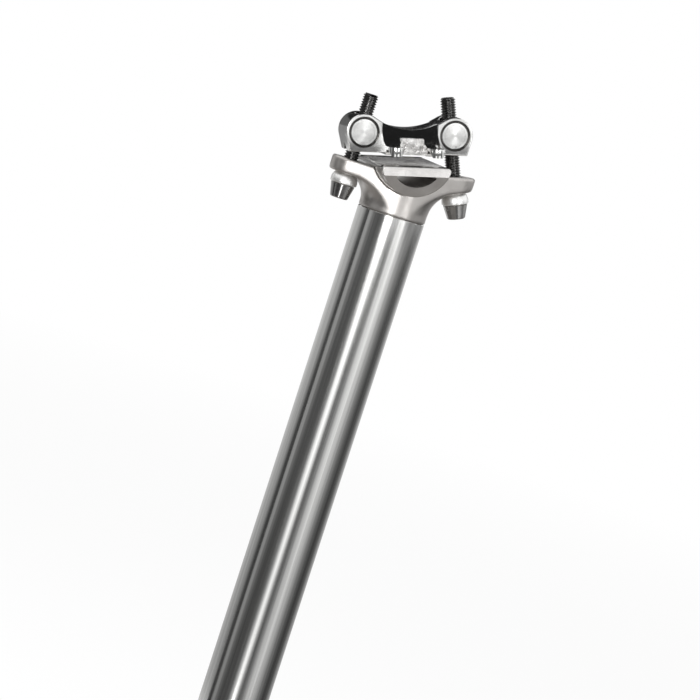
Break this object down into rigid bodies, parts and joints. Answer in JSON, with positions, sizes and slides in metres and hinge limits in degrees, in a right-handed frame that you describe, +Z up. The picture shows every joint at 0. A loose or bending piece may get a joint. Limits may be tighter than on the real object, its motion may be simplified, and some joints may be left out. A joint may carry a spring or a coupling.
{
  "type": "bicycle seatpost",
  "caption": "Round tubular bicycle seatpost with a flared head and a rocking clamp that grips the rails of a saddle, its tilt set by opposed front and rear bolts.",
  "frame": {"origin": "centre of the lower end of the tube", "axes": "+Z up the tube, +X to the rear of the bicycle, +Y to the rider's right"},
  "size_m": [0.0583, 0.052, 0.3775],
  "materials": {
    "tube": "bright, fine lengthwise grain",
    "forged_head": "satin, bead blasted",
    "cradle": "satin, bead blasted",
    "polished_clamp": "polished",
    "turned_nut": "turned",
    "bolt_steel": "dark, lightly oiled",
    "plated_washer": "bright plated"
  },
  "bodies": {
    "post": {"post_tube": "tube", "head": "forged_head"},
    "rail_clamp": {"lower_cradle": "cradle", "upper_clamp": "polished_clamp"},
    "front_screw": {"front_bolt": "bolt_steel", "front_washer": "plated_washer"},
    "rear_screw": {"rear_bolt": "bolt_steel", "rear_washer": "plated_washer"},
    "front_nut": {"front_barrel_nut": "turned_nut"},
    "rear_nut": {"rear_barrel_nut": "turned_nut"}
  },
  "joints": [
    {"name": "clamp_tilt", "type": "hinge", "parent": "post", "child": "rail_clamp", "pos_m": [-0.0025, 0, 0.35], "axis": [0, -1, 0], "range_deg": [-8, 6]},
    {"name": "front_bolt_swivel", "type": "hinge", "parent": "post", "child": "front_screw", "pos_m": [-0.02222, 0, 0.33333], "axis": [0, -1, 0], "range_deg": [-1.7, 1.7]},
    {"name": "rear_bolt_swivel", "type": "hinge", "parent": "post", "child": "rear_screw", "pos_m": [0.02286, 0, 0.33883], "axis": [0, -1, 0], "range_deg": [-2.1, 2.1]},
    {"name": "front_nut_turn", "type": "hinge", "parent": "rail_clamp", "child": "front_nut", "pos_m": [-0.02222, 0, 0.35403], "axis": [0, -1, 0], "range_deg": [-6.7, 6.7]},
    {"name": "rear_nut_turn", "type": "hinge", "parent": "rail_clamp", "child": "rear_nut", "pos_m": [0.01256, 0, 0.36335], "axis": [0, -1, 0], "range_deg": [-6.3, 6.3]}
  ],
  "couplings": [
    {"joint": "front_bolt_swivel", "follows": "clamp_tilt", "ratio": 0.1944},
    {"joint": "rear_bolt_swivel", "follows": "clamp_tilt", "ratio": 0.2429},
    {"joint": "front_nut_turn", "follows": "clamp_tilt", "ratio": -0.8056},
    {"joint": "rear_nut_turn", "follows": "clamp_tilt", "ratio": -0.7571}
  ]
}
